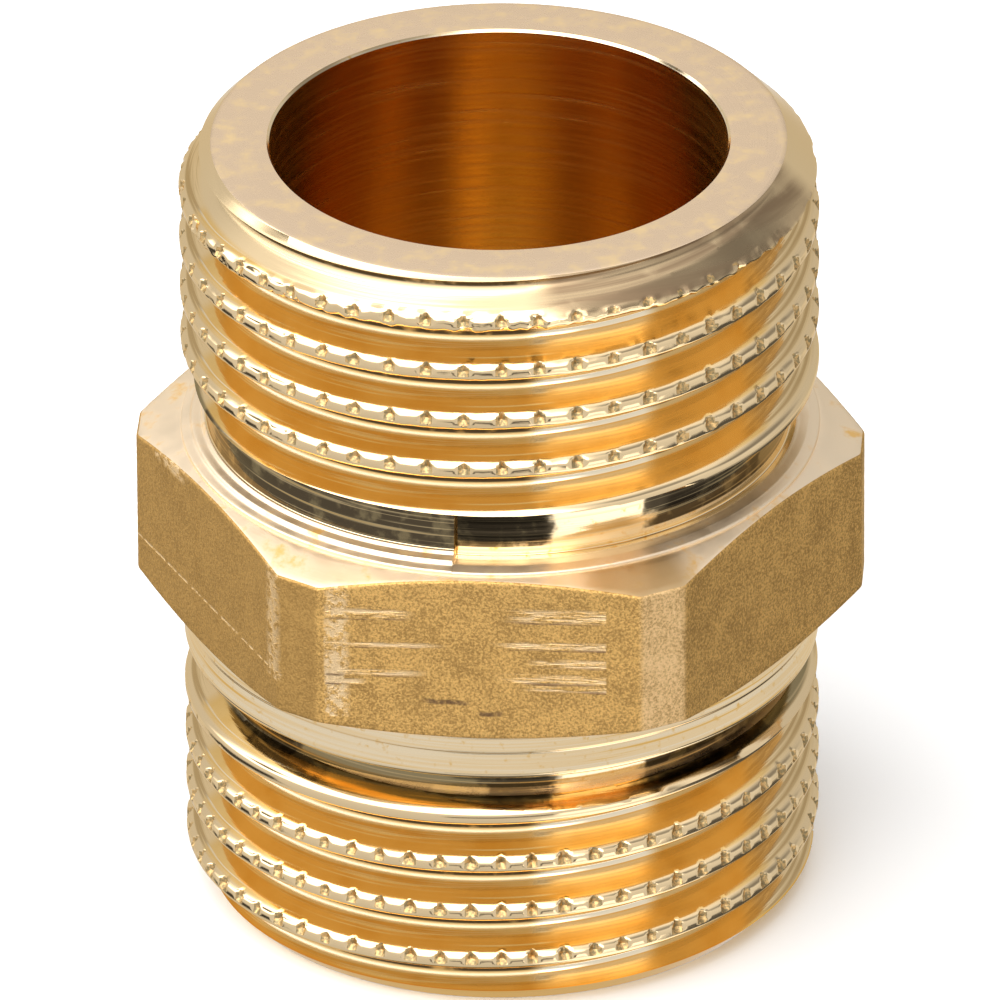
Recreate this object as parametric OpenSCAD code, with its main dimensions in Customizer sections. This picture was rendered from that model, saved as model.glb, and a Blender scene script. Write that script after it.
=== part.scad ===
// Hex nipple with two G 1/2 (BSP parallel) male threads, one piece of brass.
// It stands on its lower end face: the origin is at the centre of that face and +Z runs up the bore.
// Its worked regions are separate nodes stacked along Z, so each can be found and finished by name.

/* [Overall] */
// Length from end face to end face
overall_len = 27; // [26:0.5:34]
// Diameter of the through bore
bore_d = 15; // [10:0.5:15.5]
// Chamfer at both mouths of the bore
bore_chamfer = 0.25; // [0.1:0.05:0.4]

/* [Hexagon] */
// Width across the flats, which a spanner grips
hex_af = 21.5; // [21.5:0.5:24]
// Height of the hexagon
hex_h = 6; // [5:0.5:8]
// Distance across the blunted corners
hex_corner_d = 23.9; // [23:0.1:24.5]
// Slope of the turned faces above and below the hexagon
hex_face_slope = 19; // [10:1:30]
// Diameter where the sloping faces start
hex_face_d = 21; // [20.8:0.1:21.4]

/* [Threads] */
// Major diameter of the thread
major_d = 20.955; // [20.6:0.005:20.955]
// Threads per inch
threads_per_inch = 14; // [12:1:14]
// Radial depth of the thread
thread_depth = 1.16; // [0.9:0.02:1.16]
// Slope of both flanks of the thread
flank_angle = 27.5; // [25:0.5:28]
// Width of the flat on the crest
crest_w = 0.42; // [0.3:0.02:0.44]
// Diameter of each end face, where the end chamfer starts
end_face_d = 18.8; // [18:0.1:19.2]
// Diameter of the last crest before the relief, which isn't serrated
last_crest_d = 20.6; // [20.2:0.1:20.6]
// Height of a crest's middle in the lower thread, on the right-hand side
lower_crest_z = 2.47; // [1.6:0.01:3.4]
// The same in the upper thread
upper_crest_z = 22.7; // [21.8:0.01:23.6]

/* [Serration] */
// Number of notches round the lower thread's crest
lower_notches = 64; // [40:1:72]
// Number of notches round the upper thread's crest, which is serrated more coarsely
upper_notches = 53; // [40:1:72]
// Width of a notch at the crest
notch_w = 0.5; // [0.3:0.05:0.6]
// Depth of a notch
notch_depth = 0.28; // [0.15:0.01:0.35]

/* [Reliefs] */
// Diameter of the turned relief between each thread and the hexagon
relief_d = 19.2; // [18.6:0.1:19.6]
// Height of the relief under the upper thread
upper_relief_h = 1.5; // [1:0.1:2]
// Height of the low step between the hexagon and the upper relief
upper_step_h = 0.22; // [0.1:0.02:0.5]
// Height of the plain collar below the hexagon
lower_collar_h = 1.5; // [1:0.1:2]
// Diameter of the collar where it meets the relief; it widens to the sloping face's diameter
lower_collar_d = 20.8; // [20.2:0.1:20.8]
// Height of the relief between that collar and the lower thread
lower_relief_h = 1.1; // [0.8:0.1:1.5]

/* [Hidden] */

BRASS_TURNED = "#d9b169";
BRASS_BRIGHT = "#ead2a0";
BRASS_BLASTED = "#a5854c";

inch = 25.4;
pitch = inch / threads_per_inch;
minor_r = major_d / 2 - thread_depth;
end_chamfer = (major_d - end_face_d) / 2;

hex_bottom = (overall_len - hex_h) / 2;
hex_top = hex_bottom + hex_h;
lower_thread_top = hex_bottom - lower_collar_h - lower_relief_h;
upper_thread_bottom = hex_top + upper_step_h + upper_relief_h;
// The serrations stop about one pitch short of the relief
lower_serration_top = lower_thread_top - 0.55 * pitch;
upper_serration_bottom = upper_thread_bottom + 0.75 * pitch;

sides_per_turn = 60;
root_overlap = 0.1;
crest_margin = 0.3;
gap = 0.01;
// Height over which the crest sinks from the major diameter to the last crest's
crest_fade = 0.2;
$fn = 120;

// A tube of the given outline, drilled through and chamfered at the mouths that are asked for
module bored(z0, z1, bottom_mouth = false, top_mouth = false) {
    difference() {
        children();
        translate([0, 0, z0 - 1])
            cylinder(d = bore_d, h = z1 - z0 + 2);
        if (bottom_mouth)
            translate([0, 0, z0 - gap])
                cylinder(d1 = bore_d + 2 * (bore_chamfer + gap), d2 = bore_d, h = bore_chamfer + gap);
        if (top_mouth)
            translate([0, 0, z1 - bore_chamfer])
                cylinder(d1 = bore_d, d2 = bore_d + 2 * (bore_chamfer + gap), h = bore_chamfer + gap);
    }
}

// The four corners of one ridge's outline at an angle along the helix: the flanks run from inside the
// core to beyond the crest, where the blank's own surface cuts them off
function ridge_corners(angle, crest_z) =
    let (
        r_in = minor_r - root_overlap,
        r_out = major_d / 2 + crest_margin,
        half_in = crest_w / 2 + (major_d / 2 - r_in) * tan(flank_angle),
        half_out = crest_w / 2 - crest_margin * tan(flank_angle),
        z = crest_z + pitch * angle / 360
    )
    [for (c = [[r_in, -half_in], [r_out, -half_out], [r_out, half_out], [r_in, half_in]])
        [c[0] * cos(angle), c[0] * sin(angle), z + c[1]]];

// A right-hand helical ridge that climbs from below z0 to above z1, with crest_z the height of one of
// its crests at angle 0
module helical_ridge(crest_z, z0, z1) {
    step = 360 / sides_per_turn;
    first = floor((z0 - pitch - crest_z) / pitch * sides_per_turn);
    last = ceil((z1 + pitch - crest_z) / pitch * sides_per_turn);
    n = last - first;
    points = [for (i = [first:last]) each ridge_corners(i * step, crest_z)];
    sides = [
        for (i = [0:n - 1], k = [0:3])
            let (a = 4 * i + k, b = 4 * i + (k + 1) % 4)
            each [[a, b, b + 4], [a, b + 4, a + 4]]
    ];
    ends = [[3, 2, 1, 0], [for (k = [0:3]) 4 * n + k]];
    polyhedron(points = points, faces = concat(sides, ends), convexity = 10);
}

// The turned blank that a thread is cut in: end chamfer, full diameter, then the lower last crest
module thread_blank(length, serrated_to) {
    rotate_extrude()
        polygon([
            [0, 0],
            [end_face_d / 2, 0],
            [major_d / 2, end_chamfer],
            [major_d / 2, serrated_to],
            [last_crest_d / 2, serrated_to + crest_fade],
            [last_crest_d / 2, length],
            [0, length]
        ]);
}

// V-shaped notches that run parallel to the axis, from below the end face up to the given height
module serration(top, notches) {
    for (i = [0:notches - 1])
        rotate(360 * i / notches)
            translate([major_d / 2, 0, -1])
                linear_extrude(top + 1)
                    polygon([[-notch_depth, 0], [notch_depth, notch_w], [notch_depth, -notch_w]]);
}

// One threaded end, standing on its end face; crest_z places the helix
module threaded_end(length, serrated_to, crest_z, notches) {
    cylinder(r = minor_r, h = length);
    difference() {
        intersection() {
            helical_ridge(crest_z, 0, length);
            thread_blank(length, serrated_to);
        }
        serration(serrated_to + crest_fade / 2, notches);
    }
}

module lower_thread() {
    color(BRASS_TURNED)
        bored(0, lower_thread_top, bottom_mouth = true)
            threaded_end(lower_thread_top, lower_serration_top, lower_crest_z, lower_notches);
}

module upper_thread() {
    length = overall_len - upper_thread_bottom;
    serrated_to = overall_len - upper_serration_bottom;
    // The end is made standing on its face and then turned over, which keeps the helix right-handed
    color(BRASS_TURNED)
        bored(upper_thread_bottom, overall_len, top_mouth = true)
            translate([0, 0, overall_len])
                rotate([180, 0, 0])
                    threaded_end(length, serrated_to, overall_len - upper_crest_z, upper_notches);
}

module lower_neck() {
    color(BRASS_BRIGHT)
        bored(lower_thread_top, hex_bottom)
            rotate_extrude()
                polygon([
                    [0, lower_thread_top],
                    [relief_d / 2, lower_thread_top],
                    [relief_d / 2, hex_bottom - lower_collar_h],
                    [lower_collar_d / 2, hex_bottom - lower_collar_h],
                    [hex_face_d / 2, hex_bottom],
                    [0, hex_bottom]
                ]);
}

module upper_neck() {
    color(BRASS_BRIGHT)
        bored(hex_top, upper_thread_bottom)
            rotate_extrude()
                polygon([
                    [0, hex_top],
                    [hex_face_d / 2, hex_top],
                    [hex_face_d / 2, hex_top + upper_step_h],
                    [relief_d / 2, hex_top + upper_step_h],
                    [relief_d / 2, upper_thread_bottom],
                    [0, upper_thread_bottom]
                ]);
}

// A hexagonal prism with flats facing -Y and +Y
module hexagon(across_flats, height) {
    cylinder(d = across_flats / cos(30), h = height, $fn = 6);
}

// The turned envelope of the hexagon: a flat ring and a sloping face above and below
module hex_envelope() {
    rim = hex_af;
    drop = (rim - hex_face_d) / 2 * tan(hex_face_slope);
    rotate_extrude()
        polygon([
            [0, 0],
            [hex_face_d / 2, 0],
            [rim / 2, drop],
            [rim, drop + rim / 2 * tan(hex_face_slope)],
            [rim, hex_h - drop - rim / 2 * tan(hex_face_slope)],
            [rim / 2, hex_h - drop],
            [hex_face_d / 2, hex_h],
            [0, hex_h]
        ]);
}

module hex_collar() {
    color(BRASS_BLASTED)
        bored(hex_bottom, hex_top)
            translate([0, 0, hex_bottom])
                intersection() {
                    hexagon(hex_af, hex_h);
                    rotate(30)
                        hexagon(hex_corner_d, hex_h);
                    hex_envelope();
                }
}

lower_thread();
lower_neck();
hex_collar();
upper_neck();
upper_thread();
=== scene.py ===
"""Looks of the brass hex nipple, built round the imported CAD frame.

The one piece of brass is made as five pieces that meet face to face, one for each CAD node: two threaded
ends, two necks and the blasted hexagon. Sizes are in millimetres and degrees unless a name or comment says
otherwise. Azimuth is measured from +X towards +Y, as in the frame.
"""

import math
from collections import namedtuple

import bmesh
import bpy
import numpy as np
from mathutils import Matrix, Vector


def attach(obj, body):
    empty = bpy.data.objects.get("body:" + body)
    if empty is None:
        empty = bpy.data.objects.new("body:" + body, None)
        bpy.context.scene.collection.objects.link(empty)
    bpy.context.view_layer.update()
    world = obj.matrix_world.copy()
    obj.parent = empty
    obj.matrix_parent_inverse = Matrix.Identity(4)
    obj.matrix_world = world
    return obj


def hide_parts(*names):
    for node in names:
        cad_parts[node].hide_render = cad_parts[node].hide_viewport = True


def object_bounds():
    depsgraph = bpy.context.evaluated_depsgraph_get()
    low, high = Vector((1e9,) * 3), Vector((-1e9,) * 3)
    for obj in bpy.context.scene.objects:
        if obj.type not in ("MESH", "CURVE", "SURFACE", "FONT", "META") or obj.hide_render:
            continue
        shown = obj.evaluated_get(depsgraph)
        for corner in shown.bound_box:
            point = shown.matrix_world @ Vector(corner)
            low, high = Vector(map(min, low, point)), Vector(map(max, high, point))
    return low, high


MM = 0.001

# Overall sizes, as in the CAD model
OVERALL = 27.0
BORE_R = 7.5
MAJOR_R = 20.955 / 2
PITCH = 25.4 / 14
END_FACE_R = 9.4
HEX_BOTTOM, HEX_TOP = 10.5, 16.5
FLAT_R = 10.75
CORNER_R = 11.95
RING_R = 10.5
FACE_SLOPE = math.tan(math.radians(19))
LOWER_SPLIT, UPPER_SPLIT = 7.9, 18.22

# Both end faces: the mouth's chamfer, narrower than the CAD model's, and the rounding of the rim, whose
# rings are given by how far each lies inside the one before and how deep under the face
MOUTH_CHAMFER = 0.08
RIM_ROUNDING = 0.02
RIM_RINGS = ((0.04, 0.008), (0.12, 0.0))

# The azimuth that faces the camera, for which the height of each end's crest is given
FRONT = -86.13

# Thread form: normals turn from level on the crest to the flank's slope, and back to level in the root.
# Above the crest comes a rounded shoulder; below it a narrow land, a worn strip and a tight edge.
FLANK_TILT = 62.5
ROOT_RADIUS = 0.24
CREST_RADIUS = 0.22
SHOULDER_TILT = 46
SHOULDER_RADIUS = 0.6
LAND_TILT = 2
LAND_WIDTH = 0.09
STRIP_TILT = 14
STRIP_RADIUS = 0.62
EDGE_RADIUS = 0.17

# The last stretch of each thread: where its full diameter ends, how steeply it then runs into the relief,
# and between which heights the root rises to the relief's wall
LOWER_WALL, UPPER_WALL = 7.62, 18.72
RUN_OUT = 2.4
LOWER_RISE, UPPER_RISE = (7.62, 7.86), (18.35, 18.6)
ROOT_R = MAJOR_R - 1.3

# Serrations: the height about which they fade out, half the length of that, and their foot on each crest,
# which lies above the worn strip
LOWER_SERRATED, UPPER_SERRATED = 7.15, 19.4
SERRATION_FADE = 0.2
NOTCH_FOOT = -0.10
# Columns of points at each notch, in half widths of it; one more column lies midway to the next notch
NOTCH_COLUMNS = (-1.4, -1.08, -0.7, -0.35, 0.0, 0.35, 0.7, 1.08, 1.4)
# How unequal the notches are: spread of their depth and width as shares, and of their place
UNEVEN_DEPTH, UNEVEN_WIDTH, UNEVEN_PLACE = 0.14, 0.10, 0.02
# How far a notch's floor is lifted where the notch is left out
NOTCH_LIFT = 0.6
# Depth of the lines left by turning and of the chips out of the crests, and how far the crests stray
LINE_DEPTH, CHIP_DEPTH, CREST_STRAY = 0.004, 0.03, 0.012
# Between these heights the upper crest grows more torn, by so many times
TORN_FROM, TORN_TO, TORN_MORE = 24.9, 25.6, 4.5

# Reliefs beside the hexagon
NECK_R = 9.55
# The upper one's tool stopped at this azimuth, leaving a step over this share of a turn; past the step it
# starts deeper and drifts outwards, and from half the turn on it leans the other way
TOOL_STOP, STOP_SHARE = -94.7, 0.0014
TOOL_START, TOOL_DRIFT = -0.05, 0.12
TOOL_LEAN, LEAN_CHANGE, LEAN_TURN = 1, -4.5, (0.5, 0.72)

# Fineness of the meshes: columns, rows and steps, the distance between turned lines, the depth of the
# blasted grain, random values in a noise, and the angle above which an edge is sharp
SIDES = 720
RING_SIDES = 360
ROUNDING_STEPS = 3
BORE_ROWS = 5
HEX_WALL_ROWS, HEX_FACE_ROWS = 56, 5
LINE_SPACING, GRAIN_DEPTH = 0.06, 0.004
LATTICE_SIZE = 1024
LATHE_CREASE, THREAD_CREASE = 38, 34

# Material places: on a threaded end, on the necks, and on the hexagon, which shares the necks' bore place
THREADED, FACED, MOUTH, BORED, NOTCHED = range(5)
WALL_BAND, BORE_BAND, SHOULDER_BAND = range(3)
BLASTED_BAND, TURNED_BAND = 0, 2


def polar(radius, azimuth, height):
    """Points from arrays of radius, azimuth in radians and height, as one array of rows."""
    radius, azimuth, height = np.broadcast_arrays(radius, azimuth, height)
    return np.stack([radius * np.cos(azimuth), radius * np.sin(azimuth), height], -1).reshape(-1, 3)


def wander(x, seed):
    """Smooth noise between -1 and 1 along x, with one random value at each whole number."""
    lattice = np.random.default_rng(seed).uniform(-1, 1, LATTICE_SIZE)
    cell = np.floor(x).astype(int)
    t = x - cell
    s = t * t * (3 - 2 * t)
    return lattice[cell % LATTICE_SIZE] * (1 - s) + lattice[(cell + 1) % LATTICE_SIZE] * s


def ease(x, low, high):
    """0 below low, 1 above high, smooth between."""
    t = np.clip((x - low) / (high - low), 0, 1)
    return t * t * (3 - 2 * t)


# ---------------------------------------------------------------------------------------------------------
# Meshes


def new_mesh(name, points, faces, materials, face_materials):
    """A mesh from points in millimetres, with the material place of each face."""
    mesh = bpy.data.meshes.new(name)
    mesh.from_pydata((points * MM).tolist(), [], faces)
    for material in materials:
        mesh.materials.append(material)
    mesh.polygons.foreach_set("material_index", face_materials)
    return mesh


def new_object(name, mesh):
    made = bpy.data.objects.new(name, mesh)
    bpy.context.scene.collection.objects.link(made)
    return made


def new_piece(name, mesh, sharp_angle):
    """An object from a mesh, smooth-shaded with creases where faces meet at a steep angle."""
    mesh.polygons.foreach_set("use_smooth", [True] * len(mesh.polygons))
    mesh.set_sharp_from_angle(angle=math.radians(sharp_angle))
    mesh.validate()
    mesh.update()
    return new_object(name, mesh)


def rounded(corners, radius):
    """A profile's corners, each replaced by a short curve; a corner is a pair of radius and height."""
    rows = [corners[0]]
    for before, corner, after in zip(corners, corners[1:], corners[2:]):
        ends = []
        for other in (before, after):
            dr, dz = other[0] - corner[0], other[1] - corner[1]
            length = np.hypot(dr, dz)
            cut = np.minimum(radius, 0.45 * length) / length
            ends.append((corner[0] + dr * cut, corner[1] + dz * cut))
        for t in np.linspace(0, 1, ROUNDING_STEPS + 1):
            rows.append(
                tuple(
                    (1 - t) ** 2 * a + 2 * t * (1 - t) * c + t**2 * b
                    for a, c, b in zip(ends[0], corner, ends[1])
                )
            )
    rows.append(corners[-1])
    return rows


def lathe(rows, azimuth):
    """Points and faces of a closed ring from its rows of radius and height, up outside and down inside."""
    points = np.concatenate([polar(r + 0 * azimuth, azimuth, z + 0 * azimuth) for r, z in rows])
    n, m = len(azimuth), len(rows)
    faces = []
    for j in range(m):
        below, above = j * n, (j + 1) % m * n
        for i in range(n):
            k = (i + 1) % n
            faces.append((below + i, below + k, above + k, above + i))
    return points, faces


def bore_rows(bottom, top):
    """The bore's wall, from the top down."""
    return [(BORE_R, z) for z in np.linspace(top, bottom, BORE_ROWS)]


# ---------------------------------------------------------------------------------------------------------
# Threaded ends


def arc(v, depth, tilt, new_tilt, radius, steps):
    """Points of a curve of one radius whose normal turns from tilt to new_tilt; v is height."""
    rows = []
    for t in np.linspace(tilt, new_tilt, steps + 1)[1:]:
        slope = math.radians(t - (new_tilt - tilt) / steps / 2)
        length = radius * math.radians(abs(new_tilt - tilt) / steps)
        v += length * math.cos(slope)
        depth += length * math.sin(slope)
        rows.append((v, depth))
    return rows


def upper_side():
    """From the top of the crest's land up to the flank: offset from it, and depth below the crest."""
    rows = arc(0, 0, 0, SHOULDER_TILT, CREST_RADIUS, 4)
    return rows + arc(*rows[-1], SHOULDER_TILT, FLANK_TILT, SHOULDER_RADIUS, 3)


def lower_side():
    """The same down to the lower flank, over the land, the worn strip and the edge."""
    rows = [(LAND_WIDTH, LAND_WIDTH * math.tan(math.radians(LAND_TILT)))]
    rows += arc(*rows[-1], LAND_TILT, STRIP_TILT, STRIP_RADIUS, 2)
    return rows + arc(*rows[-1], STRIP_TILT, FLANK_TILT, EDGE_RADIUS, 4)


def thread_profile():
    """One pitch of the thread, from root to root: height from the crest's middle, and depth below it."""
    upper, lower = upper_side(), lower_side()
    root = arc(0, 0, FLANK_TILT, 0, ROOT_RADIUS, 4)
    cos, sin = math.cos(math.radians(FLANK_TILT)), math.sin(math.radians(FLANK_TILT))
    width = upper[-1][0] + lower[-1][0] + 2 * root[-1][0]
    extra = (upper[-1][1] - lower[-1][1]) / sin
    upper_flank = ((PITCH - width) / cos - extra) / 2
    sides = []
    for rows, flank, steps in ((upper, upper_flank, 6), (lower, upper_flank + extra, 3)):
        v, depth = rows[-1]
        line = [(v + flank * cos * t, depth + flank * sin * t) for t in np.linspace(0, 1, steps + 1)[1:]]
        v, depth = line[-1]
        sides.append(rows + line + [(v + a, depth + b) for a, b in root])
    down = [(-v, depth) for v, depth in reversed(sides[1])]
    return np.array(down + [(0, 0)] + sides[0][:-1])


class End:
    """One threaded end: the height of a crest at FRONT, its notches, and how torn its crests are."""

    def __init__(self, crest, notches, notch_at, notch_width, notch_depth, burr, seed):
        self.crest = crest
        self.notches = notches
        self.notch_at = notch_at
        self.notch_width = notch_width
        self.notch_depth = notch_depth
        self.burr = burr
        self.seed = seed


class LowerEnd(End):
    """The end below the hexagon; its outer end face is at the bottom."""

    bottom, top = 0, LOWER_SPLIT
    outer, inner = bottom, top

    def blank(self, z, azimuth):
        """Radius before threading: end chamfer, full diameter, and a steep run into the relief."""
        radius = np.minimum(END_FACE_R + z, MAJOR_R)
        run_out = MAJOR_R - RUN_OUT * (z - LOWER_WALL)
        return np.minimum(radius, np.maximum(NECK_R, run_out))

    def serrated(self, z):
        """1 where the crests are serrated, 0 beside the relief."""
        return 1 - ease(z, LOWER_SERRATED - SERRATION_FADE, LOWER_SERRATED + SERRATION_FADE)

    def floor(self, z, azimuth):
        """The least radius: the thread's root, rising to the relief's wall."""
        return ROOT_R + (NECK_R - ROOT_R) * ease(z, *LOWER_RISE)


class UpperEnd(End):
    """The end above the hexagon, with the same forms upside down."""

    bottom, top = UPPER_SPLIT, OVERALL
    outer, inner = top, bottom

    def blank(self, z, azimuth):
        radius = np.minimum(END_FACE_R + OVERALL - z, MAJOR_R)
        run_out = MAJOR_R - RUN_OUT * (UPPER_WALL - z)
        return np.minimum(radius, np.maximum(neck_radius(azimuth, z), run_out))

    def serrated(self, z):
        return ease(z, UPPER_SERRATED - SERRATION_FADE, UPPER_SERRATED + SERRATION_FADE)

    def floor(self, z, azimuth):
        return ROOT_R + (neck_radius(azimuth, z) - ROOT_R) * (1 - ease(z, *UPPER_RISE))


LOWER = LowerEnd(
    crest=3.84, notches=64, notch_at=-86.5, notch_width=0.50, notch_depth=0.22, burr=0.2, seed=11
)
UPPER = UpperEnd(
    crest=22.24, notches=53, notch_at=-85.9, notch_width=0.56, notch_depth=0.20, burr=1.0, seed=23
)


def neck_radius(azimuth, z):
    """The upper relief's tool drifted outwards and leaned over round the turn, so it ends in a step."""
    share = past_stop(azimuth)
    lean = np.tan(np.radians(TOOL_LEAN + LEAN_CHANGE * ease(share, *LEAN_TURN)))
    return NECK_R + TOOL_START + TOOL_DRIFT * share + lean * (z - UPPER_SPLIT)


def past_stop(azimuth):
    """The share of a turn, 0 to 1, from the place where the tool stopped, and back to 0 over the step."""
    share = np.degrees(azimuth - math.radians(TOOL_STOP)) / 360 % 1
    return np.where(share > 1 - STOP_SHARE, (1 - share) / STOP_SHARE, share)


def notch_floor(end, azimuth, kept):
    """Radius of the V-notches' floor; it is beyond the crest between notches and where none are kept."""
    step = 2 * math.pi / end.notches
    turn = (azimuth - math.radians(end.notch_at)) / step
    index = np.round(turn)
    notch = np.mod(index, end.notches).astype(int)
    rng = np.random.default_rng(end.seed)
    depth = end.notch_depth * (1 + UNEVEN_DEPTH * rng.normal(size=end.notches))[notch]
    width = end.notch_width * (1 + UNEVEN_WIDTH * rng.normal(size=end.notches))[notch]
    astray = (UNEVEN_PLACE * rng.normal(size=end.notches))[notch]
    across = np.abs((turn - index) * step * MAJOR_R + astray)
    return MAJOR_R - depth + across * 2 * depth / width + (1 - kept) * NOTCH_LIFT


def thread_grid(end):
    """The strip that winds up the helix, before it is cut: its profile, the columns of points in a turn,
    and the azimuth and height of every point, with one row of the arrays for each column."""
    profile = thread_profile()
    half_notch = end.notch_width / 2 / (2 * math.pi * MAJOR_R / end.notches)
    cell = np.append(half_notch * np.array(NOTCH_COLUMNS), 0.5)
    per_turn = end.notches * len(cell)
    first = math.floor((end.bottom - PITCH - end.crest) / PITCH) - 1
    last = math.ceil((end.top + PITCH - end.crest) / PITCH) + 1
    i = np.arange((last - first) * per_turn)
    turns = (i // len(cell) + cell[i % len(cell)]) / end.notches + first
    azimuth = math.radians(end.notch_at) + 2 * math.pi * turns
    rise = (np.degrees(azimuth) - FRONT) / 360 * PITCH
    z = end.crest + rise[:, None] + profile[None, :, 0]
    return profile, per_turn, azimuth[:, None] + 0 * z, z


def thread_surface(end, profile, azimuth, z):
    """The strip's heights and radii with the blank's outline, notches and burrs, and which points lie in a
    notch."""
    height, depth = profile[None, :, 0], profile[None, :, 1]
    # Turning leaves fine lines along the helix
    lines = wander(height * 9 + 40, end.seed + 1) + 0 * z
    radius = MAJOR_R - depth + LINE_DEPTH * lines * (depth > 0.2)
    serrated = end.serrated(z)
    blank = end.blank(z, azimuth)
    notch = notch_floor(end, azimuth, serrated * ease(height, NOTCH_FOOT - 0.05, NOTCH_FOOT))
    limit = np.minimum(blank, notch)
    notched = (radius > limit) & (notch < blank)
    z, radius = snap(z, radius, limit)
    # Burrs: the crests are chipped, and stray up and down
    arc_length = azimuth * MAJOR_R
    near_crest = ease(radius, MAJOR_R - 0.2, MAJOR_R - 0.06) * serrated * ~notched
    chips = wander(arc_length * 3.1, end.seed + 2) * wander(z * 3 + arc_length * 1.7, end.seed + 3)
    burr = end.burr * (1 + TORN_MORE * ease(z, TORN_FROM, TORN_TO)) * near_crest
    radius = radius - CHIP_DEPTH * burr * np.clip(chips, 0, 1)
    z = z + CREST_STRAY * burr * wander(arc_length * 4.3, end.seed + 4)
    return z, np.maximum(radius, end.floor(z, azimuth)), notched


def thread_faces(notched, per_turn):
    """The strip's faces, joined to the next turn's along the root, and the material place of each."""
    columns, rows = notched.shape
    faces, places = [], []
    for c in range(columns - 1):
        base = c * rows
        for j in range(rows - 1):
            faces.append((base + j, base + rows + j, base + rows + j + 1, base + j + 1))
            places.append(NOTCHED if notched[c : c + 2, j : j + 2].sum() > 2 else THREADED)
        if c + per_turn + 1 < columns:
            above = (c + per_turn) * rows
            faces.append((base + rows - 1, base + 2 * rows - 1, above + rows, above))
            places.append(THREADED)
    return faces, places


def build_end(name, end, materials):
    """A threaded end: the helical strip, cut off at its two planes and closed."""
    profile, per_turn, azimuth, z = thread_grid(end)
    z, radius, notched = thread_surface(end, profile, azimuth, z)
    faces, places = thread_faces(notched, per_turn)
    mesh = new_mesh(name, polar(radius, azimuth, z), faces, materials, places)
    bm = bmesh.new()
    bm.from_mesh(mesh)
    for height, up in ((end.bottom, -1), (end.top, 1)):
        # The outer end is cut a little short, for the rounding of its rim
        skin = RIM_ROUNDING if height == end.outer else 0
        bmesh.ops.bisect_plane(
            bm,
            geom=bm.verts[:] + bm.edges[:] + bm.faces[:],
            plane_co=(0, 0, (height - up * skin) * MM),
            plane_no=(0, 0, up),
            clear_outer=True,
        )
    outward = 1 if end.outer == end.top else -1
    mouth_ring = close_end(bm, end.outer, outward, mouth=True)
    inner_ring = close_end(bm, end.inner, -outward, mouth=False)
    join_rings(bm, mouth_ring, inner_ring, BORED)
    bmesh.ops.recalc_face_normals(bm, faces=bm.faces)
    bm.to_mesh(mesh)
    bm.free()
    return new_piece(name, mesh, THREAD_CREASE)


def snap(z, radius, limit):
    """Points outside the limit move in to it; the first one outside goes to the very edge."""
    outside = radius > limit
    new_z, new_radius = z.copy(), np.where(outside, limit, radius)
    for step in (1, -1):
        inside_z, inside_r = np.roll(z, step, 1), np.roll(radius, step, 1)
        inside_gap = np.roll(limit - radius, step, 1)
        gap = radius - limit
        edge = outside & (inside_gap > 0)
        edge[:, 0 if step == 1 else -1] = False
        t = np.where(edge, inside_gap / np.maximum(inside_gap + gap, 1e-9), 0)
        new_z = np.where(edge, inside_z + (z - inside_z) * t, new_z)
        new_radius = np.where(edge, inside_r + (radius - inside_r) * t, new_radius)
    return new_z, new_radius


def open_loop(bm, height):
    """The open edges that lie at one height."""
    tolerance = RIM_ROUNDING + 0.01
    level = {v for v in bm.verts if abs(v.co.z - height * MM) < tolerance * MM}
    return [e for e in bm.edges if e.is_boundary and level.issuperset(e.verts)]


def ring_of(bm, radius, height):
    """Points and edges of a round ring."""
    verts = [
        bm.verts.new((radius * MM * math.cos(a), radius * MM * math.sin(a), height * MM))
        for a in np.linspace(0, 2 * math.pi, RING_SIDES, endpoint=False)
    ]
    edges = [bm.edges.new((a, b)) for a, b in zip(verts, verts[1:] + verts[:1])]
    return verts, edges


def close_end(bm, height, up, mouth):
    """Closes one end of a threaded piece with a flat ring and returns the bore's edge there."""
    loop = open_loop(bm, height)
    if mouth:
        for inset, drop in RIM_RINGS:
            made = bmesh.ops.extrude_edge_only(bm, edges=loop)["geom"]
            loop = [g for g in made if isinstance(g, bmesh.types.BMEdge) and g.is_boundary]
            for v in {v for e in loop for v in e.verts}:
                v.co -= Vector((v.co.x, v.co.y, 0)).normalized() * inset * MM
                v.co.z = (height - up * drop) * MM
            for f in {f for e in loop for f in e.link_faces}:
                f.material_index = FACED
    verts, edges = ring_of(bm, BORE_R + (MOUTH_CHAMFER if mouth else 0), height)
    filled = bmesh.ops.triangle_fill(bm, edges=loop + edges, use_beauty=True, normal=(0, 0, up))
    for f in filled["geom"]:
        if isinstance(f, bmesh.types.BMFace):
            f.material_index = FACED
    if not mouth:
        return verts
    inner = ring_of(bm, BORE_R, height - up * MOUTH_CHAMFER)[0]
    join_rings(bm, verts, inner, MOUTH)
    return inner


def join_rings(bm, a, b, material_index):
    """A band of faces between two rings of points."""
    for i in range(len(a)):
        k = (i + 1) % len(a)
        face = bm.faces.new((a[i], a[k], b[k], b[i]))
        face.material_index = material_index


# ---------------------------------------------------------------------------------------------------------
# Necks and hexagon


def even_turn(extra=()):
    """Azimuths round the turn in radians, with more of them at the given places in degrees."""
    base = np.linspace(-math.pi, math.pi, SIDES, endpoint=False)
    return np.unique(np.concatenate([base, np.radians(extra)]))


def lathe_piece(name, rows, azimuth, bottom, top, materials, indices):
    """A ring from its outer rows, closed by the bore; indices name the material of each row's band."""
    bore = bore_rows(bottom, top)
    points, faces = lathe(rows + bore, azimuth)
    bands = list(indices) + [BORE_BAND] * len(bore)
    mesh = new_mesh(name, points, faces, materials, np.repeat(bands, len(azimuth)))
    return new_piece(name, mesh, LATHE_CREASE)


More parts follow.
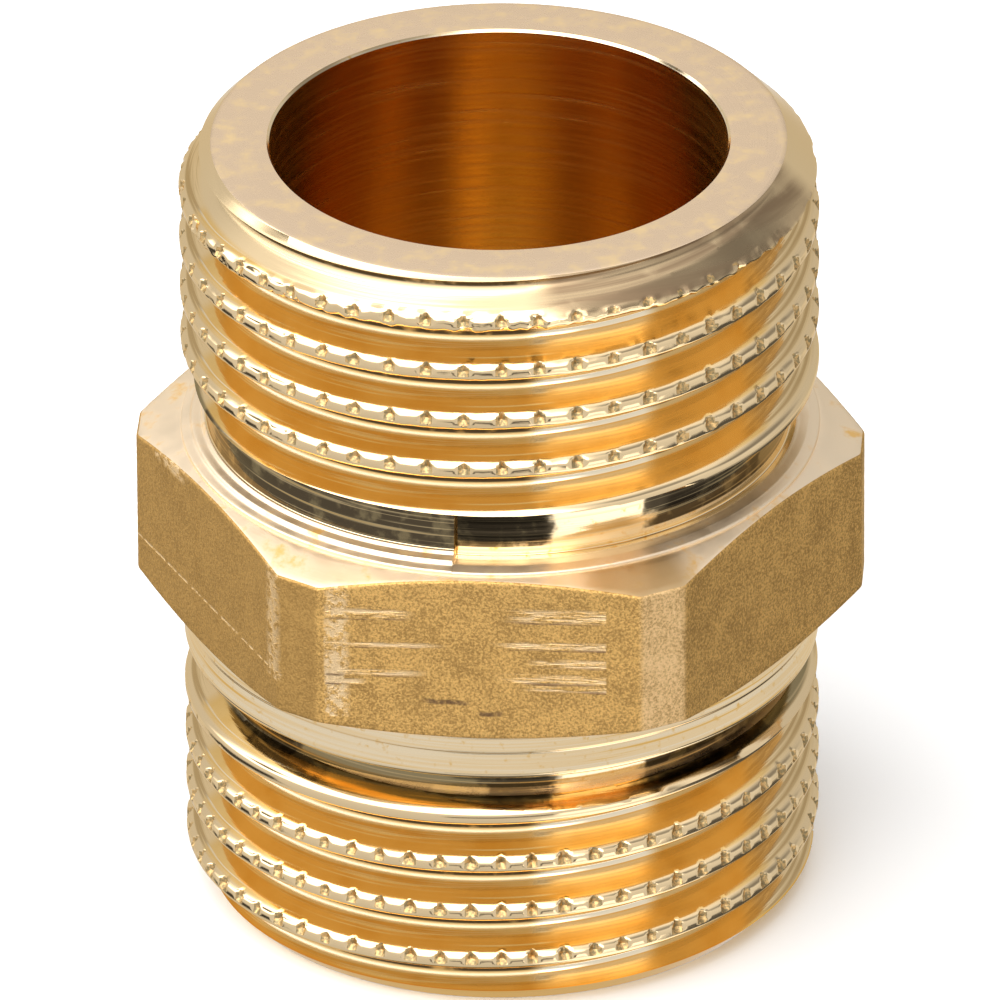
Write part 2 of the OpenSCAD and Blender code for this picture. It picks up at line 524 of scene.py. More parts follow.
def build_upper_neck(materials):
    """A shoulder above the hexagon, which climbs in two low steps round the turn, and the relief's wall."""
    # More columns of points over the step where the tool stopped
    azimuth = even_turn(TOOL_STOP + np.array([-0.55, -0.35, -0.2, -0.05, 0.0, 0.1]))
    climb = ease(past_stop(azimuth), 0.3, 0.9)
    foot_r, foot = RING_R - 0.72, HEX_TOP + 0.22 + 0.27 * climb
    shoulder = [
        (RING_R, HEX_TOP),
        (RING_R, HEX_TOP + 0.10 + 0.02 * climb),
        (RING_R - 0.30, HEX_TOP + 0.18 + 0.02 * climb),
        (RING_R - 0.36, HEX_TOP + 0.20 + 0.13 * climb),
        (RING_R - 0.66, HEX_TOP + 0.21 + 0.16 * climb),
        (foot_r, foot),
    ]
    wall = [(neck_radius(azimuth, foot), foot), (neck_radius(azimuth, UPPER_SPLIT), UPPER_SPLIT)]
    rows = rounded([(r + 0 * azimuth, z + 0 * azimuth) for r, z in shoulder + wall], 0.05)
    rows = with_lines(rows, depth=0.0015, seed=31)
    bands = [SHOULDER_BAND if r.mean() > foot_r - 0.02 else WALL_BAND for r, z in rows]
    return lathe_piece("upper_neck_turned", rows, azimuth, HEX_TOP, UPPER_SPLIT, materials, bands)


def with_lines(rows, depth, seed):
    """Long straight bands are cut up and given the fine steps that turning leaves."""
    made = []
    for (r0, z0), (r1, z1) in zip(rows, rows[1:]):
        length = float(np.mean(np.hypot(r1 - r0, z1 - z0)))
        steps = max(1, round(length / LINE_SPACING))
        for k in range(steps):
            t = k / steps
            r, z = r0 + (r1 - r0) * t, z0 + (z1 - z0) * t
            if k > 0:
                r = r + depth * wander(z * 7 + r * 5, seed)
            made.append((r, z))
    return made + [rows[-1]]


def build_lower_neck(materials):
    """The relief's wall and the collar above it, which flares to the hexagon."""
    azimuth = even_turn()
    corners = [
        # The relief's wall, and its corner under the collar
        (NECK_R, LOWER_SPLIT),
        (NECK_R + 0.03, 8.74),
        (9.78, 8.88),
        # The collar's underside, its lower edge, a low step half-way up, and the flare
        (10.40, 8.89),
        (10.47, 9.04),
        (10.36, 9.80),
        (10.40, 9.84),
        (10.33, 10.36),
        (RING_R, HEX_BOTTOM),
    ]
    rows = rounded([(r + 0 * azimuth, z + 0 * azimuth) for r, z in corners], 0.05)
    rows = with_lines(rows, depth=0.002, seed=37)
    bands = [WALL_BAND] * len(rows)
    return lathe_piece("lower_neck_turned", rows, azimuth, LOWER_SPLIT, HEX_BOTTOM, materials, bands)


def hex_outline(azimuth):
    """Radius of the hexagon with its blunted corners, the edges a little rounded."""
    soft = 0.02
    least_facing, out_of_the_way = 0.3, 99
    near = 0
    for distance, start in ((FLAT_R, -90), (CORNER_R, -60)):
        for k in range(6):
            facing = np.cos(azimuth - math.radians(start + 60 * k))
            reach = distance / np.maximum(facing, least_facing)
            reach = np.where(facing > least_facing, reach, out_of_the_way)
            near = near + np.exp(-(reach - FLAT_R) / soft)
    return FLAT_R - soft * np.log(near)


def hex_rows(azimuth):
    """The hexagon's outside from its lower ring to its upper ring: sloping face, walls, sloping face."""
    rim = hex_outline(azimuth)
    drop = (rim - RING_R) * FACE_SLOPE
    corners = [
        (RING_R + 0 * rim, HEX_BOTTOM + 0 * rim),
        (rim, HEX_BOTTOM + drop),
        (rim, HEX_TOP - drop),
        (RING_R + 0 * rim, HEX_TOP + 0 * rim),
    ]
    first, *rims, last = rounded(corners, 0.07)
    lower_rim, upper_rim = rims[: len(rims) // 2], rims[len(rims) // 2 :]
    sloping = np.linspace(0, 1, HEX_FACE_ROWS + 1)
    low = [blend_rows(first, lower_rim[0], t) for t in sloping[:-1]]
    wall = [blend_rows(lower_rim[-1], upper_rim[0], t) for t in np.linspace(0, 1, HEX_WALL_ROWS + 1)]
    high = [blend_rows(upper_rim[-1], last, t) for t in sloping[1:]]
    blasted = lower_rim[:-1] + wall + upper_rim[1:]
    bands = [TURNED_BAND] * len(low) + [BLASTED_BAND] * (len(blasted) - 1) + [TURNED_BAND] * (len(high) + 1)
    return low + blasted + high, bands


def blend_rows(a, b, t):
    """The row at the share t of the way from one row to another."""
    return (a[0] + (b[0] - a[0]) * t, a[1] + (b[1] - a[1]) * t)


def build_hexagon(materials):
    """The hexagon, with more points at its corners and a grain on its blasted walls."""
    edges = [side * off for side in (-1, 1) for off in (3.7, 4.0, 4.3, 4.6)]
    azimuth = even_turn([60 * k + 30 + edge for k in range(-3, 3) for edge in edges])
    rows, bands = hex_rows(azimuth)
    rng = np.random.default_rng(5)
    grained = []
    for band, (r, z) in zip(bands, rows):
        grain = rng.normal(size=len(azimuth)) if band == BLASTED_BAND else 0
        grained.append((r - GRAIN_DEPTH * np.abs(grain), z))
    return lathe_piece("hex_collar_blasted", grained, azimuth, HEX_BOTTOM, HEX_TOP, materials, bands)


# ---------------------------------------------------------------------------------------------------------
# Materials


Place = namedtuple("Place", "point x y z radius azimuth")


class Shader:
    """Short calls that build one node tree; every call returns the socket that carries its result."""

    def __init__(self, tree):
        self.tree = tree
        tree.nodes.clear()

    def node(self, kind, sockets=(), **settings):
        made = self.tree.nodes.new(kind)
        for key, value in settings.items():
            setattr(made, key, value)
        for key, value in dict(sockets).items():
            self.put(made.inputs[key], value)
        return made

    def put(self, socket, value):
        """Links another node's result to the socket, or sets a plain value on it."""
        if isinstance(value, bpy.types.NodeSocket):
            self.tree.links.new(value, socket)
        else:
            socket.default_value = value

    def math(self, operation, a, b=0.0, c=0.0):
        return self.node("ShaderNodeMath", {0: a, 1: b, 2: c}, operation=operation).outputs[0]

    def add(self, a, b):
        return self.math("ADD", a, b)

    def subtract(self, a, b):
        return self.math("SUBTRACT", a, b)

    def absolute(self, value):
        return self.math("ABSOLUTE", value)

    def hypotenuse(self, a, b):
        return self.math("SQRT", self.add(self.product(a, a), self.product(b, b)))

    def product(self, total, *others):
        """All of them multiplied; a product of masks is 1 only where every one is."""
        for other in others:
            total = self.math("MULTIPLY", total, other)
        return total

    def largest(self, total, *others):
        """The largest of them; of masks, 1 where any one is."""
        for other in others:
            total = self.math("MAXIMUM", total, other)
        return total

    def inverse(self, mask):
        return self.subtract(1.0, mask)

    def ramp(self, value, low, high, to_low=0.0, to_high=1.0):
        """Smooth from to_low, where the value is at low or before it, to to_high at high."""
        sockets = {"Value": value, "From Min": low, "From Max": high, "To Min": to_low, "To Max": to_high}
        return self.node("ShaderNodeMapRange", sockets, interpolation_type="SMOOTHSTEP").outputs[0]

    def window(self, value, low, high, soft):
        """1 between low and high, fading over the soft width outside them."""
        return self.product(self.ramp(value, low - soft, low), self.ramp(value, high + soft, high))

    def between(self, azimuth, ranges, soft):
        """1 within the given ranges of azimuth, in degrees."""
        turn = self.product(azimuth, math.degrees(1))
        return self.largest(*[self.window(turn, low, high, soft) for low, high in ranges])

    def mix(self, factor, a, b):
        """Colour a where the factor is 0, colour b where it is 1; a mix of colours has them at 6 and 7."""
        made = self.node("ShaderNodeMix", data_type="RGBA")
        for index, value in ((0, factor), (6, a), (7, b)):
            self.put(made.inputs[index], value)
        return made.outputs[2]

    def noise(self, vector, scale, detail=2.0, roughness=0.5):
        sockets = {"Vector": vector, "Scale": scale, "Detail": detail, "Roughness": roughness}
        return self.node("ShaderNodeTexNoise", sockets).outputs[0]

    def vector(self, x, y, z):
        return self.node("ShaderNodeCombineXYZ", {"X": x, "Y": y, "Z": z}).outputs[0]

    def place(self):
        """The point on the object in millimetres, with its azimuth in radians."""
        point = self.node("ShaderNodeTexCoord").outputs["Object"]
        scaled = self.node("ShaderNodeVectorMath", {0: point, 1: [1 / MM] * 3}, operation="MULTIPLY")
        x, y, z = self.node("ShaderNodeSeparateXYZ", {0: scaled.outputs[0]}).outputs
        return Place(scaled.outputs[0], x, y, z, self.hypotenuse(x, y), self.math("ARCTAN2", y, x))


def new_material(name):
    material = bpy.data.materials.new(name)
    material.use_nodes = True
    return material, Shader(material.node_tree)


def surface(shader, colour, roughness, bump, bump_distance):
    """The metal itself: a Principled surface with its colour, roughness and fine relief."""
    relief = shader.node("ShaderNodeBump", {"Height": bump, "Distance": bump_distance * MM})
    sockets = {
        "Base Color": colour,
        "Metallic": 1.0,
        "Roughness": roughness,
        "Specular Tint": EDGE_TINT,
        "Normal": relief.outputs[0],
    }
    metal = shader.node("ShaderNodeBsdfPrincipled", sockets)
    output = shader.node("ShaderNodeOutputMaterial")
    shader.tree.links.new(metal.outputs[0], output.inputs[0])


# Brass keeps some of its colour at a grazing angle
EDGE_TINT = (1.0, 0.87, 0.66, 1)
BRIGHT = (0.94, 0.71, 0.41, 1)
GOLDEN = (0.91, 0.60, 0.23, 1)
WARM = (0.85, 0.52, 0.16, 1)
PALE = (0.97, 0.84, 0.62, 1)
DULL_TINT = (0.56, 0.39, 0.19, 1)
# Deeper amber painted on the lower end chamfer, a painted reflection of the shaded floor under it
AMBER = (0.93, 0.55, 0.14, 1)
CREST_TINT = (0.93, 0.71, 0.42, 1)
NOTCH_TINT = (0.70, 0.46, 0.20, 1)
# Painted dark reflections in the reliefs and on the run-outs, and painted shade in the roots of the grooves
PAINTED_DARK_TINT = (0.10, 0.075, 0.045, 1)
# The grey-brown of the notches' torn metal, also used for painted shade deep in the grooves and for dimmer
# painted reflections in the reliefs
TORN_METAL_AND_PAINTED_SHADE_TINT = (0.34, 0.265, 0.14, 1)
# Painted dark reflection on the upper chamfer
CHAMFER_REFLECTION_TINT = (0.31, 0.21, 0.125, 1)
# Painted shade towards the bore's sides
BORE_SHADE = (0.62, 0.34, 0.09, 1)
FACED_TINT = (0.85, 0.65, 0.46, 1)
CONE_TINT = (0.96, 0.79, 0.58, 1)
BORE_TINT = (0.84, 0.56, 0.18, 1)
# Pale scrapes, also painted as a highlight on the right-hand blunted corner of the hexagon
SCRAPED_AND_HIGHLIGHT_TINT = (0.88, 0.64, 0.36, 1)
BLASTED_LIGHT = (0.80, 0.50, 0.17, 1)
BLASTED_DARK = (0.40, 0.235, 0.075, 1)
# Dark dents, also painted as shade under the tooth marks
DENT_AND_SHADE_TINT = (0.14, 0.08, 0.05, 1)

# Ranges of azimuth: where shade is painted in the grooves, with their sides painted duller outside it, and
# where paler streaking is painted on them as highlights; where the bright light is reflected, so that a
# highlight and no dark reflection is painted; where dark reflections are painted black in each relief and
# on the lower thread's run-out; and where a dark reflection is painted on the upper chamfer
SHADED_GROOVES = (-158, -30)
HIGHLIGHT_STREAK_RANGE = (-160, -80)
LIT_REFLECTION = (-77, -57)
LOWER_DARK_REFLECTIONS = ((-149, -130), (-91, -79), (-53, -27))
LOWER_THREAD_DARK_REFLECTIONS = ((-149, -130), (-53, -27))
UPPER_DARK_REFLECTIONS = ((-158, -97), (-94, -79), (-53, -22))
CHAMFER_REFLECTED = (-74, -12)
# Heights between which dark reflections are painted, on each thread's run-out and in each relief
LOWER_THREAD_REFLECTION_HEIGHTS, UPPER_THREAD_REFLECTION_HEIGHTS = (7.75, 9.0), (18.0, 18.6)
LOWER_NECK_REFLECTION_HEIGHTS, UPPER_NECK_REFLECTION_HEIGHTS = (7.0, 8.93), (17.06, 19.0)
# Heights over which the upper thread's colour turns into its chamfer's
CHAMFER_EDGE = (OVERALL - 1.12, OVERALL - 1.0)
# The stain on the hexagon's upper sloping face, beside its right-hand corner: azimuths and heights
STAINED, STAIN_HEIGHTS = (-68, -57), (14.0, 16.47)


def lathe_lines(shader, at, height, fineness, drift):
    """Noise that is drawn out round the axis: fine across the turned lines and slow along them."""
    along = shader.vector(
        shader.product(at.x, drift), shader.product(at.y, drift), shader.product(height, fineness)
    )
    return shader.noise(along, 1.0, 3.0)


def from_crest(shader, end, at):
    """Height above the middle of the nearest crest."""
    turned = shader.subtract(at.azimuth, math.radians(FRONT))
    climbed = shader.product(turned, PITCH / (2 * math.pi))
    offset = shader.subtract(shader.subtract(at.z, end.crest), climbed)
    return shader.math("WRAP", offset, PITCH / 2, -PITCH / 2)


def painted_reflections(shader, colour, where, at, lines, black):
    """Painted dark reflections where asked: dim brown, black in the given ranges of azimuth, and none in
    the range that reflects the bright light.
    """
    astray = shader.product(shader.subtract(shader.noise(at.point, 1.1, 3.0), 0.5), 0.4)
    azimuth = shader.add(at.azimuth, astray)
    outside_lit = shader.inverse(shader.between(azimuth, [LIT_REFLECTION], 4))
    dim_reflection = shader.product(where, outside_lit, shader.ramp(lines, 0.34, 0.46, 0.65, 1.0))
    colour = shader.mix(dim_reflection, colour, TORN_METAL_AND_PAINTED_SHADE_TINT)
    patchy = shader.ramp(shader.noise(at.point, 1.4, 4.0, 0.6), 0.32, 0.52, 0.4, 1.0)
    streaky = shader.product(patchy, shader.ramp(lines, 0.34, 0.46))
    dark_reflection = shader.product(where, shader.between(azimuth, black, 4), streaky)
    return shader.mix(dark_reflection, colour, PAINTED_DARK_TINT)


def groove_colour(shader, at, height, lines, stain):
    """Golden brass, warmer in patches; paler streaking along the turned lines on the left and a pale band
    deep in the groove where the bright light reflects, both painted highlights; duller at the left and
    right sides, a painted reflection; and the lower end chamfer painted a deeper amber, a painted
    reflection of the shaded floor."""
    groove = shader.mix(shader.ramp(stain, 0.40, 0.75), GOLDEN, WARM)
    # Paler streaking along the turned lines on the left: painted highlights
    left = shader.between(at.azimuth, [HIGHLIGHT_STREAK_RANGE], 5)
    highlight_streaks = shader.product(shader.ramp(lines, 0.52, 0.62), shader.window(height, 0.35, 0.70, 0.1), left)
    # A pale band painted deep in the groove as a highlight, where the bright light reflects
    off_crest = shader.absolute(height)
    lip_highlight = shader.product(shader.between(at.azimuth, [LIT_REFLECTION], 5), shader.ramp(off_crest, 0.50, 0.80))
    groove = shader.mix(shader.largest(highlight_streaks, lip_highlight), groove, PALE)
    # The left and right sides are painted duller: a painted reflection
    sides = shader.inverse(shader.between(at.azimuth, [SHADED_GROOVES], 5))
    painted_reflection_tone = shader.mix(shader.ramp(lines, 0.44, 0.60), BRIGHT, DULL_TINT)
    groove = shader.mix(shader.product(sides, 0.85), groove, painted_reflection_tone)
    # The lower end chamfer is painted a deeper amber: a painted reflection of the shaded floor under it
    off_chamfer = shader.absolute(shader.subtract(shader.subtract(at.radius, at.z), END_FACE_R))
    return shader.mix(shader.ramp(off_chamfer, 0.10, 0.05), groove, AMBER)


def threaded_brass(name, end, relief, dark_ranges):
    """Grooves with painted shade deep in them and a painted dark line in the root, painted dark reflections
    on the run-out; bright crests and a painted dark reflection on the upper chamfer.
    """
    material, shader = new_material(name)
    at = shader.place()
    height = from_crest(shader, end, at)
    off_crest = shader.absolute(height)
    lines = lathe_lines(shader, at, shader.add(height, shader.product(at.radius, 1.3)), 9.0, 0.12)
    stain = shader.noise(at.point, 0.55, 4.0)
    chamfer = shader.ramp(at.z, *CHAMFER_EDGE)
    crest = shader.product(shader.window(height, -0.20, 0.22, 0.08), shader.ramp(at.radius, 10.12, 10.25))
    groove = groove_colour(shader, at, height, lines, stain)
    colour = shader.mix(shader.largest(crest, chamfer), groove, CREST_TINT)
    # Painted shade deep in the grooves and a painted dark line in the root under the crests, in front and
    # away from the bright reflection
    beyond_lit = shader.inverse(shader.between(at.azimuth, [LIT_REFLECTION], 5))
    in_shaded_range = shader.between(at.azimuth, [SHADED_GROOVES], 5)
    deep = shader.product(shader.ramp(at.radius, 9.9, 9.75), beyond_lit, in_shaded_range)
    groove_shade = shader.product(deep, shader.ramp(off_crest, 0.60, 0.74))
    colour = shader.mix(shader.product(groove_shade, 0.4), colour, TORN_METAL_AND_PAINTED_SHADE_TINT)
    patchy = shader.ramp(shader.noise(at.point, 1.1, 3.0), 0.25, 0.45)
    root = shader.product(deep, shader.ramp(off_crest, 0.80, 0.85), patchy)
    colour = shader.mix(root, colour, PAINTED_DARK_TINT)
    # Painted dark reflections on the run-out
    run_out = shader.product(shader.window(at.z, *relief, 0.06), shader.ramp(at.radius, 10.25, 10.1))
    colour = painted_reflections(shader, colour, run_out, at, lines, dark_ranges)
    # A painted dark reflection, in streaky patches, on the right of the upper chamfer, which is also made
    # rougher
    brushed = shader.ramp(lines, 0.30, 0.66, 0.55, 1.0)
    in_chamfer_reflection = shader.between(at.azimuth, [CHAMFER_REFLECTED], 8)
    chamfer_reflection = shader.product(chamfer, in_chamfer_reflection, shader.ramp(stain, 0.15, 0.45), brushed)
    colour = shader.mix(shader.product(chamfer_reflection, 0.95), colour, CHAMFER_REFLECTION_TINT)
    dull = shader.largest(shader.product(chamfer_reflection, 0.25), shader.product(groove_shade, 0.3))
    roughness = shader.add(shader.ramp(lines, 0.35, 0.75, 0.08, 0.20), dull)
    surface(shader, colour, roughness, lines, 0.0035)
    return material


def notched_brass():
    """The notches' torn metal."""
    material, shader = new_material("notched_brass")
    torn = shader.noise(shader.place().point, 9.0, 3.0)
    colour = shader.mix(shader.ramp(torn, 0.40, 0.60), NOTCH_TINT, TORN_METAL_AND_PAINTED_SHADE_TINT)
    roughness = shader.ramp(torn, 0.35, 0.75, 0.45, 0.60)
    surface(shader, colour, roughness, torn, 0.008)
    return material


def neck_brass(name, relief, dark_ranges):
    """Bright turned brass, with painted dark reflections between the heights of the relief."""
    material, shader = new_material(name)
    at = shader.place()
    lines = lathe_lines(shader, at, shader.add(at.z, shader.product(at.radius, 1.3)), 11.0, 0.10)
    spots = shader.noise(at.point, 3.5, 3.0)
    colour = shader.mix(shader.ramp(lines, 0.42, 0.60, 0.0, 0.6), BRIGHT, PALE)
    tarnish = shader.largest(shader.ramp(spots, 0.58, 0.8), shader.ramp(lines, 0.37, 0.31))
    colour = shader.mix(tarnish, colour, WARM)
    # Painted dark reflections in the relief
    colour = painted_reflections(shader, colour, shader.window(at.z, *relief, 0.06), at, lines, dark_ranges)
    roughness = shader.ramp(lines, 0.35, 0.8, 0.06, 0.20)
    surface(shader, colour, roughness, lines, 0.0015)
    return material


def faced_brass():
    """The end faces, with the rings of the facing cut."""
    material, shader = new_material("faced_brass")
    at = shader.place()
    rings = lathe_lines(shader, at, at.radius, 12.0, 0.25)
    stain = shader.noise(at.point, 1.3, 5.0, 0.6)
    colour = shader.mix(shader.ramp(stain, 0.45, 0.75), FACED_TINT, BRIGHT)
    roughness = shader.ramp(stain, 0.3, 0.8, 0.22, 0.42)
    surface(shader, colour, roughness, rings, 0.004)
    return material


def cone_brass():
    """The sloping faces of the hexagon: scraped by the turning tool, paler and rougher than the necks."""
    material, shader = new_material("cone_brass")
    at = shader.place()
    rings = lathe_lines(shader, at, at.radius, 6.0, 0.15)
    patch = shader.noise(at.point, 1.0, 4.0, 0.6)
    colour = shader.mix(shader.ramp(patch, 0.56, 0.76), CONE_TINT, GOLDEN)
    beside_corner = shader.between(at.azimuth, [STAINED], 7)
    stained = shader.product(beside_corner, shader.window(at.z, *STAIN_HEIGHTS, 0.04))
    colour = shader.mix(shader.product(stained, 0.85), colour, DULL_TINT)
    roughness = shader.ramp(patch, 0.3, 0.8, 0.38, 0.52)
    surface(shader, colour, roughness, rings, 0.004)
    return material


def bored_brass():
    """The bore's wall, painted deeper in colour towards both sides as shade."""
    material, shader = new_material("bored_brass")
    at = shader.place()
    lines = lathe_lines(shader, at, at.z, 7.0, 0.20)
    colour = shader.mix(shader.ramp(lines, 0.35, 0.75), BORE_TINT, WARM)
    # Painted shade towards both sides of the bore
    aside = shader.ramp(shader.absolute(at.x), 3.0, 7.0, 0.0, 0.9)
    colour = shader.mix(aside, colour, BORE_SHADE)
    roughness = shader.ramp(lines, 0.35, 0.8, 0.16, 0.29)
    surface(shader, colour, roughness, lines, 0.004)
    return material


def stroke(shader, along, across, start, end, middle, half):
    """1 inside a straight scratch, given by its half width, which fades out towards its end."""
    fade = (end - start) * 0.35
    thin = shader.ramp(shader.absolute(shader.subtract(across, middle)), half, half * 0.3)
    ahead = shader.ramp(along, start - math.copysign(0.06, fade), start)
    behind = shader.ramp(along, end, end - fade)
    return shader.product(thin, shader.product(ahead, behind))


def on_flats(shader, at, facing):
    """Place across a pair of opposite flats, in millimetres, and 1 on them."""
    cos, sin = math.cos(math.radians(facing)), math.sin(math.radians(facing))
    outward = shader.add(shader.product(at.x, cos), shader.product(at.y, sin))
    across = shader.subtract(shader.product(at.y, cos), shader.product(at.x, sin))
    mask = shader.ramp(shader.absolute(outward), FLAT_R - 0.12, FLAT_R - 0.06)
    return shader.product(across, shader.math("SIGN", outward)), mask


# Marks of a spanner's teeth on the front and back flats: start and end across the flat, height, and half
# width
TEETH = (
    (-5.0, -2.0, 15.15, 0.26),
    (-5.0, -0.9, 14.00, 0.13),
    (-5.0, -1.5, 12.95, 0.15),
    (-5.0, -3.6, 12.60, 0.15),
    (4.1, 0.6, 15.20, 0.34),
    (4.1, 0.2, 14.10, 0.20),
    (4.1, 1.4, 13.45, 0.22),
    (4.1, 0.3, 12.85, 0.24),
    (4.1, 1.2, 12.50, 0.14),
)


def jaw_marks(shader, at):
    """A spanner's marks on the flats, as masks of the pale scrapes and of the painted shade under the tooth
    marks.

    Rows of tooth marks run in from both ends of the front and back flats, each with a line of painted shade
    under it, and the left end is scraped. The flats to the left of them have one long scratch and a scraped
    edge.
    """
    drawn_out = shader.vector(
        shader.product(at.x, 0.8), shader.product(at.y, 0.8), shader.product(at.z, 9.0)
    )
    ragged = shader.ramp(shader.noise(drawn_out, 1.0, 4.0, 0.65), 0.38, 0.62)
    worn = shader.ramp(shader.noise(at.point, 3.0, 5.0, 0.75), 0.42, 0.56)
    u, front = on_flats(shader, at, -90)
    teeth = [stroke(shader, u, at.z, *tooth) for tooth in TEETH]
    bands = [
        stroke(shader, at.z, u, 11.4, 15.6, -4.98, 0.13),
        stroke(shader, at.z, u, 11.3, 17.4, -4.65, 0.50),
    ]
    scrapes = shader.largest(
        shader.product(shader.largest(*teeth), ragged), shader.product(shader.largest(*bands), worn)
    )
    # A line of painted shade under each tooth mark
    shade_lines = [
        stroke(shader, u, at.z, start, end, middle - half * 0.75, 0.07)
        for start, end, middle, half in TEETH
    ]
    shade_line = shader.product(shader.largest(*shade_lines), front, ragged, 0.75)
    u, left = on_flats(shader, at, -150)
    left_marks = shader.largest(
        stroke(shader, u, at.z, -5.2, 8.0, 12.35, 0.06),
        shader.product(stroke(shader, at.z, u, 12.1, 18.5, 4.95, 0.55), 0.8),
        stroke(shader, u, at.z, -3.8, -1.2, 16.2, 0.35),
    )
    return shader.add(shader.product(scrapes, front), shader.product(left_marks, left, worn)), shade_line


# Two dark dents low on the front flat: middle and half length across it, and height
DENTS = ((-1.1, 0.85, 12.07), (0.35, 0.45, 11.65))


def dents(shader, at):
    """The dents as a mask, each drawn as two strokes that fade out from its middle."""
    u, front = on_flats(shader, at, -90)
    height = shader.add(at.z, shader.product(shader.noise(at.point, 0.9, 1.0), 0.3))
    halves = [
        stroke(shader, u, height, middle, middle + reach, level, 0.13)
        for middle, half, level in DENTS
        for reach in (half, -half)
    ]
    uneven = shader.ramp(shader.noise(at.point, 5.0, 3.0), 0.30, 0.60, 0.45, 1.0)
    in_front = shader.ramp(at.y, 0, -1)
    return shader.product(shader.largest(*halves), uneven, front, in_front, 0.85)


# Ranges of azimuth on the hexagon: the flats on the left and the blunted corner beside the front flat,
# painted darker as dark reflections, and the blunted corner on the right, painted paler as a highlight
DARK_FLATS, DARK_CORNER, LIT_CORNER = (-180, -124), (-123, -117), (-63, -57)


def blasted_brass():
    """Grit-blasted flats and corners, with a spanner's marks and two dents; painted dark reflections on the
    left, a painted highlight on the right-hand corner and painted shade under the tooth marks.
    """
    material, shader = new_material("blasted_brass")
    at = shader.place()
    grain = shader.noise(at.point, 11.0, 4.0, 0.75)
    speck = shader.noise(at.point, 30.0, 1.0)
    cloud = shader.noise(at.point, 0.9, 3.0)
    tone = shader.add(shader.product(grain, 0.8), shader.product(cloud, 0.2))
    colour = shader.mix(shader.ramp(tone, 0.39, 0.61), BLASTED_DARK, BLASTED_LIGHT)
    # The flats and corner on the left are painted darker, as dark reflections
    for dark, share in ((DARK_FLATS, 0.50), (DARK_CORNER, 0.55)):
        shade = shader.product(shader.between(at.azimuth, [dark], 1), share)
        colour = shader.mix(shade, colour, BLASTED_DARK)
    # The corner on the right is painted paler, as a highlight
    painted_reflection_tone = shader.product(
        shader.between(at.azimuth, [LIT_CORNER], 1.5), shader.ramp(tone, 0.40, 0.60, 0.2, 0.75)
    )
    colour = shader.mix(painted_reflection_tone, colour, SCRAPED_AND_HIGHLIGHT_TINT)
    scraped, shade_line = jaw_marks(shader, at)
    colour = shader.mix(scraped, colour, SCRAPED_AND_HIGHLIGHT_TINT)
    # Dark dents, and the painted shade under the tooth marks
    colour = shader.mix(shader.largest(dents(shader, at), shade_line), colour, DENT_AND_SHADE_TINT)
    roughness = shader.subtract(shader.ramp(speck, 0.45, 0.75, 0.58, 0.34), shader.product(scraped, 0.12))
    surface(shader, colour, roughness, shader.subtract(grain, scraped), 0.025)
    return material


# ---------------------------------------------------------------------------------------------------------
# Studio

# The camera looks along +Y, turned by its azimuth; its aim is a place on the axis, moved right and up
CAMERA_AZIMUTH = FRONT + 90
CAMERA_ELEVATION, CAMERA_ROLL = 29.282, -0.3479
CAMERA_DISTANCE = 800.0
LENS, SENSOR = 874.83, 36.0
AIM_HEIGHT = 13.0
AIM_RIGHT, AIM_UP = 0.0298, -0.4139
# Half the floor's width, and how far the camera sees, in metres
FLOOR_REACH = 60
CLIP_START, CLIP_END = 0.01, 200.0

# Radiance of the studio's walls at some elevations
LEVELS = ((-90, 0.57), (-50, 0.66), (-15, 0.76), (15, 0.80), (50, 1.0), (90, 1.4))
# Soft panels and dark gaps in front of the walls, each over the ones before it: azimuth to the right of
# the camera, half width, elevation, half height, softness, and radiance
PANELS = [
    (-50, 75, 52, 40, 9, 3.4),
    (140, 34, 14, 32, 12, 0.60),
    (-146, 26, 8, 26, 10, 0.66),
    (66, 24, 50, 11, 9, 0.36),
    (106, 22, 33, 11, 8, 0.26),
    (-103, 9, 34, 7, 4, 0.15),
    (0, 20, -29.5, 3, 1.5, 0.10),
    (106, 36, -40, 10, 2.5, 0.10),
    (-114, 22, -34, 5, 2.5, 0.04),
    (0, 190, -80, 12, 4, 0.20),
    (75, 35, -66, 14, 5, 1.7),
    (40, 20, -32, 4, 2.5, 1.7),
    (30, 15, -42, 5, 4, 1.1),
    (42, 27, -51, 5, 3, 1.8),
]


def panel_mask(shader, x, y, elevation, azimuth, width, height, half, soft):
    """1 on a panel, from the x, y and elevation of the direction that is looked in."""
    turned = math.radians(azimuth + CAMERA_AZIMUTH)
    towards = shader.subtract(shader.product(x, math.sin(turned)), shader.product(y, math.cos(turned)))
    level = shader.largest(0.0001, shader.hypotenuse(x, y))
    cosine = shader.math("MINIMUM", 1.0, shader.largest(-1.0, shader.math("DIVIDE", towards, level)))
    aside = shader.product(shader.math("ARCCOSINE", cosine), math.degrees(1))
    above = shader.absolute(shader.subtract(elevation, height))
    return shader.product(
        shader.ramp(aside, width + soft, width - soft), shader.ramp(above, half + soft, half - soft)
    )


